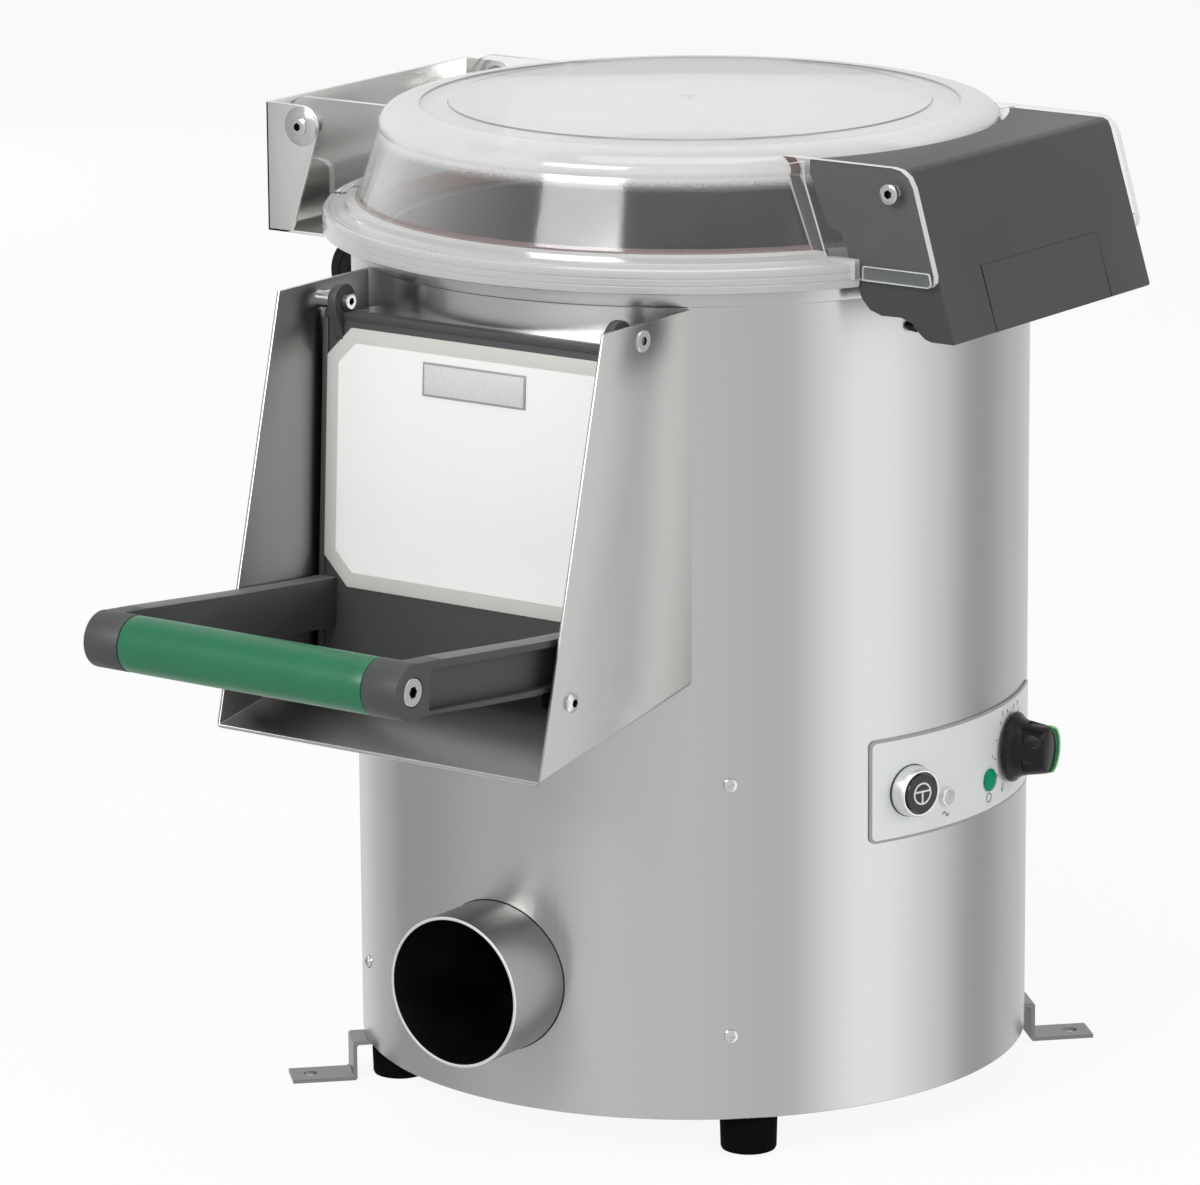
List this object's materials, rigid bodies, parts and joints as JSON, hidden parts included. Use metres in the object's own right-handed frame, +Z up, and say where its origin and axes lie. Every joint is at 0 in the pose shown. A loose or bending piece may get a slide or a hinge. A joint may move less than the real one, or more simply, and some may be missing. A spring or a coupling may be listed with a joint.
{
  "type": "electric potato peeler",
  "caption": "Bench-top electric potato peeler: round steel casing, spinning abrasive plate in a drum, hinged clear lid, discharge door with bar handle in a chute, timer and stop button.",
  "frame": {"origin": "on the bench under the drum's axis, at the middle of the circle through the fixing lugs' holes", "axes": "+Z up along the drum's axis, -Y out of the discharge chute and the waste pipe, +X towards the lid's latch and the controls"},
  "size_m": [0.422, 0.5579, 0.4995],
  "materials": {
    "steel": "brushed stainless steel",
    "abrasive": "silicon carbide grit in resin",
    "black_rubber": "matt black rubber",
    "red_gasket": "soft silicone rubber",
    "dark_plastic": "fine-textured dark grey moulding",
    "black_plastic": "black moulded plastic",
    "cast_metal": "painted cast metal",
    "clear_plastic": "clear polycarbonate",
    "white_plastic": "white plastic",
    "grey_film": "satin printed film on metal",
    "green_grip": "soft green moulded sleeve",
    "green_lamp": "translucent green plastic"
  },
  "bodies": {
    "machine": {"casing": "steel", "casing_rim": "steel", "casing_screws": "steel", "base_plate": "steel", "feet": "black_rubber", "foot_bolts": "steel", "fixing_lugs": "steel", "peeling_drum": "steel", "abrasive_lining": "abrasive", "waste_pan": "steel", "waste_pipe": "steel", "discharge_frame": "steel", "discharge_chute": "steel", "door_seal": "black_rubber", "door_pivot_bolts": "steel", "door_spacers": "steel", "stop_screws": "steel", "stop_buffers": "black_rubber", "motor_mount": "steel", "motor": "cast_metal", "drive_belt": "black_rubber", "bearing_housing": "cast_metal", "shaft_bearings": "steel", "control_box": "black_plastic", "cable_gland": "black_plastic", "water_valve": "black_plastic", "valve_coil": "black_plastic", "control_strip": "grey_film", "button_bezel": "steel", "switch_block": "black_plastic", "mains_lamp": "clear_plastic", "run_lamp": "green_lamp", "timer_body": "black_plastic", "lid_sensor": "black_plastic", "catch_plate": "steel", "hinge_bracket": "steel", "hinge_screws": "steel", "hinge_washers": "steel"},
    "lid_assembly": {"lid": "clear_plastic", "lid_gasket": "red_gasket", "hinge_bushes": "white_plastic", "latch_screws": "steel"},
    "latch_assembly": {"latch": "dark_plastic", "latch_grip": "dark_plastic", "latch_magnet": "steel"},
    "door_assembly": {"door": "dark_plastic", "door_label": "white_plastic", "door_badge": "grey_film", "grip_tube": "green_grip", "grip_screws": "steel"},
    "rotor": {"drive_shaft": "steel", "rotor_pulley": "cast_metal", "rotor_plate": "steel", "rotor_abrasive": "abrasive", "rotor_cap": "steel"},
    "motor_rotor": {"motor_shaft": "steel", "motor_pulley": "cast_metal"},
    "stop_button": {"button_cap": "black_plastic"},
    "timer": {"timer_knob": "black_plastic", "knob_pointer": "green_lamp"}
  },
  "joints": [
    {"name": "lid_hinge", "type": "hinge", "parent": "machine", "child": "lid_assembly", "pos_m": [-0.18, 0, 0.48], "axis": [0, -1, 0], "range_deg": [0, 100]},
    {"name": "latch_swing", "type": "hinge", "parent": "lid_assembly", "child": "latch_assembly", "pos_m": [0.1806, 0, 0.4827], "axis": [0, -1, 0], "range_deg": [0, 8]},
    {"name": "door_hinge", "type": "hinge", "parent": "machine", "child": "door_assembly", "pos_m": [0, -0.179, 0.4169], "axis": [-1, 0, 0], "range_deg": [0, 75]},
    {"name": "rotor_spin", "type": "hinge", "parent": "machine", "child": "rotor", "pos_m": [0, 0, 0.24], "axis": [0, 0, 1], "continuous": true},
    {"name": "motor_spin", "type": "hinge", "parent": "machine", "child": "motor_rotor", "pos_m": [0, 0.088, 0.06], "axis": [0, 0, 1], "continuous": true},
    {"name": "button_press", "type": "slide", "parent": "machine", "child": "stop_button", "axis": [-0.9588, 0.284, 0], "range_m": [0, 0.003], "stiffness_N_per_m": 300},
    {"name": "timer_turn", "type": "hinge", "parent": "machine", "child": "timer", "pos_m": [0.16564, 0.03824, 0.1813], "axis": [0.9744, 0.225, 0], "range_deg": [-300, 0]}
  ],
  "couplings": [
    {"joint": "motor_spin", "follows": "rotor_spin", "ratio": 2.75}
  ]
}
